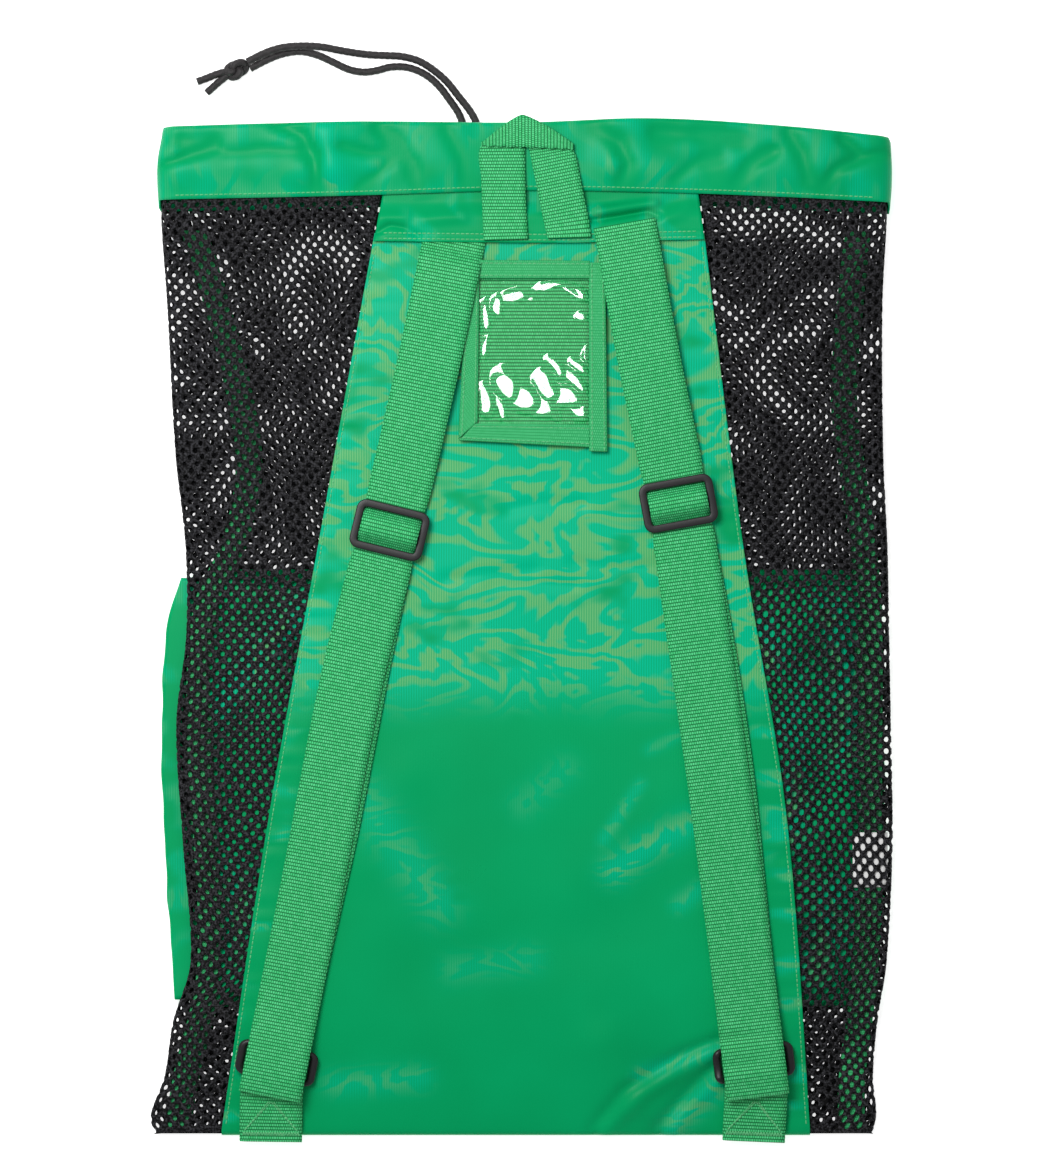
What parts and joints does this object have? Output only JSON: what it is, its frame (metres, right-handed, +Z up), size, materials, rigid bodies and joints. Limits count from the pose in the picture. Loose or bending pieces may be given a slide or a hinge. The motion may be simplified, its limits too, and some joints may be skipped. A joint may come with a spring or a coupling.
{
  "type": "mesh equipment backpack",
  "caption": "Flat empty drawstring backpack with mesh sides, a nylon back panel, webbing shoulder straps with sliders, a grab loop, a card window and a front slip pocket.",
  "frame": {"origin": "on the floor under the middle of the bag's outline, without the free cord ends", "axes": "+Z up from the floor, +Y towards the mouth, +X to the right seen from above"},
  "size_m": [0.4463, 0.6627, 0.0319],
  "materials": {
    "nylon": "smooth woven nylon",
    "webbing": "ribbed webbing",
    "net": "knitted polyester net",
    "cord": "braided cord",
    "plastic": "satin moulded",
    "vinyl": "clear glossy film",
    "label": "satin woven, blank"
  },
  "bodies": {
    "root": {"back_panel": "nylon", "yoke": "nylon", "side_mesh_left": "net", "side_mesh_right": "net", "front_mesh_upper": "net", "front_mesh_lower": "net", "front_panel": "nylon", "pocket_face": "nylon", "seam_tape_left": "webbing", "seam_tape_right": "webbing", "drawcord_hem": "nylon", "drawcord_loop": "cord", "drawcord_strand_a": "cord", "drawcord_strand_b": "cord", "drawcord_knot": "cord", "grab_loop": "webbing", "id_backing": "webbing", "id_window": "vinyl", "id_tape_top": "webbing", "id_tape_right": "webbing", "id_tape_bottom": "webbing", "id_tape_left": "webbing", "strap_left": "webbing", "strap_right": "webbing", "slider_left": "plastic", "slider_right": "plastic", "ring_left": "plastic", "ring_right": "plastic", "tab_left": "webbing", "tab_right": "webbing", "blank_label": "label"}
  },
  "joints": []
}
